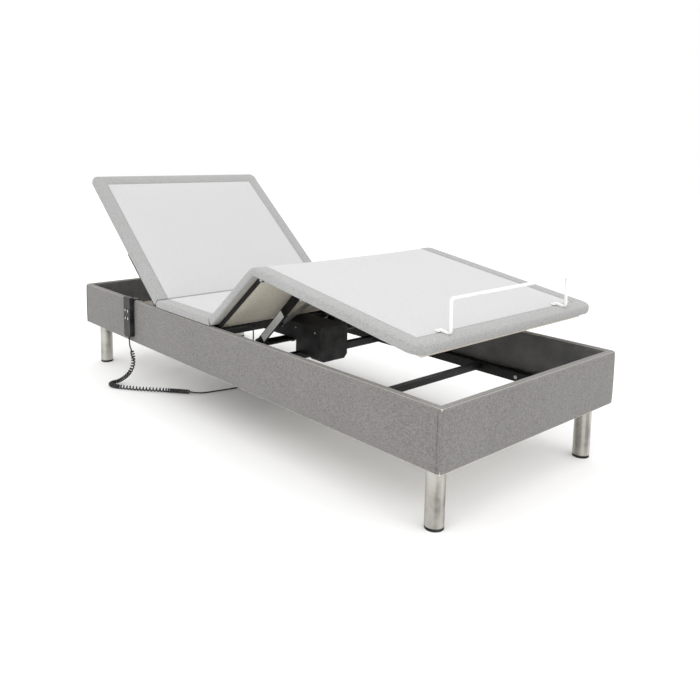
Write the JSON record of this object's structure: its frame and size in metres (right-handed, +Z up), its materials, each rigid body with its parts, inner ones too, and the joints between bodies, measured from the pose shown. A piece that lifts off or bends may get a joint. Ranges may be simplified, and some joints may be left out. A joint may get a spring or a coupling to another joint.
{
  "type": "adjustable bed base",
  "caption": "Upholstered adjustable bed base with raised back and leg sections, steel legs, lifting levers, a dual drive under the deck, a mattress retainer and a wired handset.",
  "frame": {"origin": "on the floor under the middle of the upholstered box", "axes": "+X towards the foot end, -Y towards the side with the handset, +Z up"},
  "size_m": [1.93, 0.8895, 0.7853],
  "materials": {
    "box_fabric": "heathered warm grey upholstery weave",
    "pad_fabric": "light grey melange upholstery with an off-white inset",
    "felt": "dark felt",
    "board_wood": "raw engineered wood",
    "leg_steel": "satin",
    "black_steel": "satin black powder coat",
    "white_steel": "gloss white powder coat",
    "zinc": "zinc plated",
    "black_plastic": "fine texture",
    "button_plastic": "smooth grey",
    "handset_plastic": "fine texture",
    "roller_plastic": "nylon",
    "rubber": "matte",
    "cord_jacket": "satin polyurethane"
  },
  "bodies": {
    "bed_base": {"side_boards": "board_wood", "end_boards": "board_wood", "box_cover": "box_fabric", "inner_lining": "felt", "corner_blocks": "board_wood", "legs": "leg_steel", "leg_glides": "black_plastic", "leg_studs": "zinc", "frame_rails": "black_steel", "cross_tubes": "black_steel", "frame_screws": "zinc", "seat_board": "board_wood", "seat_pad": "pad_fabric", "seat_arms": "black_steel", "hinge_pins": "zinc", "shaft_bearings": "black_steel", "seat_lugs": "black_steel", "drive_lower_shell": "black_plastic", "drive_upper_shell": "black_plastic", "drive_hangers": "black_steel", "leg_motor": "zinc", "back_motor": "zinc", "mains_inlet": "black_plastic", "cord_gland": "rubber", "handset_front_shell": "handset_plastic", "handset_back_shell": "handset_plastic", "handset_hook": "white_steel", "handset_boot": "rubber", "cord_upper": "cord_jacket", "cord_coil": "cord_jacket", "cord_lower": "cord_jacket"},
    "back_section": {"back_board": "board_wood", "back_pad": "pad_fabric", "back_arms": "black_steel"},
    "thigh_section": {"thigh_board": "board_wood", "thigh_pad": "pad_fabric", "thigh_arms": "black_steel", "knee_pins": "zinc"},
    "calf_section": {"calf_board": "board_wood", "calf_pad": "pad_fabric", "calf_arms": "black_steel", "calf_lugs": "black_steel", "retainer_bar": "white_steel"},
    "leg_torsion_set": {"leg_shaft": "black_steel", "leg_levers": "black_steel"},
    "back_torsion_set": {"back_shaft": "black_steel", "back_levers": "black_steel"},
    "leg_roller_pair": {"leg_rollers": "roller_plastic"},
    "back_roller_pair": {"back_rollers": "roller_plastic"},
    "calf_link_pair": {"calf_links": "zinc"},
    "leg_push_nut": {"leg_nut": "roller_plastic"},
    "back_push_nut": {"back_nut": "roller_plastic"},
    "leg_screw": {"leg_spindle": "zinc"},
    "back_screw": {"back_spindle": "zinc"},
    "key_back_up": {"button_back_up": "button_plastic"},
    "key_back_down": {"button_back_down": "button_plastic"},
    "key_leg_up": {"button_leg_up": "button_plastic"},
    "key_leg_down": {"button_leg_down": "button_plastic"}
  },
  "joints": [
    {"name": "back_lift", "type": "hinge", "parent": "bed_base", "child": "back_section", "pos_m": [-0.362, 0, 0.35], "axis": [0, 1, 0], "range_deg": [-39.25, 12.7]},
    {"name": "thigh_lift", "type": "hinge", "parent": "bed_base", "child": "thigh_section", "pos_m": [-0.011, 0, 0.35], "axis": [0, -1, 0], "range_deg": [-40.55, 3.4]},
    {"name": "knee_bend", "type": "hinge", "parent": "thigh_section", "child": "calf_section", "pos_m": [0.23251, 0, 0.5192], "axis": [0, 1, 0], "range_deg": [-49.6, 4.2]},
    {"name": "calf_link_turn", "type": "hinge", "parent": "bed_base", "child": "calf_link_pair", "pos_m": [-0.01, 0, 0.298], "axis": [0, -1, 0], "range_deg": [-35.2, 3]},
    {"name": "leg_shaft_turn", "type": "hinge", "parent": "bed_base", "child": "leg_torsion_set", "pos_m": [-0.05, 0, 0.229], "axis": [0, -1, 0], "range_deg": [-29.2, 2.5]},
    {"name": "back_shaft_turn", "type": "hinge", "parent": "bed_base", "child": "back_torsion_set", "pos_m": [-0.323, 0, 0.229], "axis": [0, 1, 0], "range_deg": [-27.3, 8.9]},
    {"name": "leg_nut_slide", "type": "slide", "parent": "bed_base", "child": "leg_push_nut", "axis": [-1, 0, 0], "range_m": [-0.0235, 0.002]},
    {"name": "back_nut_slide", "type": "slide", "parent": "bed_base", "child": "back_push_nut", "axis": [1, 0, 0], "range_m": [-0.0224, 0.0073]},
    {"name": "leg_screw_turn", "type": "hinge", "parent": "bed_base", "child": "leg_screw", "pos_m": [0.04, 0, 0.275], "axis": [1, 0, 0], "range_deg": [-2106, 178]},
    {"name": "back_screw_turn", "type": "hinge", "parent": "bed_base", "child": "back_screw", "pos_m": [-0.4, 0, 0.275], "axis": [1, 0, 0], "range_deg": [-2006, 650]},
    {"name": "leg_roller_spin", "type": "hinge", "parent": "leg_torsion_set", "child": "leg_roller_pair", "pos_m": [0.15432, 0, 0.42769], "axis": [0, 1, 0], "continuous": true},
    {"name": "back_roller_spin", "type": "hinge", "parent": "back_torsion_set", "child": "back_roller_pair", "pos_m": [-0.53346, 0, 0.42118], "axis": [0, 1, 0], "continuous": true},
    {"name": "press_back_up", "type": "slide", "parent": "bed_base", "child": "key_back_up", "axis": [0, 1, 0], "range_m": [0, 0.0009], "stiffness_N_per_m": 600, "springref_m": -0.001},
    {"name": "press_back_down", "type": "slide", "parent": "bed_base", "child": "key_back_down", "axis": [0, 1, 0], "range_m": [0, 0.0009], "stiffness_N_per_m": 600, "springref_m": -0.001},
    {"name": "press_leg_up", "type": "slide", "parent": "bed_base", "child": "key_leg_up", "axis": [0, 1, 0], "range_m": [0, 0.0009], "stiffness_N_per_m": 600, "springref_m": -0.001},
    {"name": "press_leg_down", "type": "slide", "parent": "bed_base", "child": "key_leg_down", "axis": [0, 1, 0], "range_m": [0, 0.0009], "stiffness_N_per_m": 600, "springref_m": -0.001}
  ],
  "couplings": [
    {"joint": "knee_bend", "follows": "thigh_lift", "ratio": 1.2192},
    {"joint": "calf_link_turn", "follows": "thigh_lift", "ratio": 0.86576},
    {"joint": "leg_shaft_turn", "follows": "thigh_lift", "ratio": 0.718},
    {"joint": "back_shaft_turn", "follows": "back_lift", "ratio": 0.694},
    {"joint": "leg_nut_slide", "follows": "thigh_lift", "m_per_rad": 0.033},
    {"joint": "back_nut_slide", "follows": "back_lift", "m_per_rad": 0.0325},
    {"joint": "leg_screw_turn", "follows": "thigh_lift", "ratio": 51.836},
    {"joint": "back_screw_turn", "follows": "back_lift", "ratio": 51.051}
  ]
}
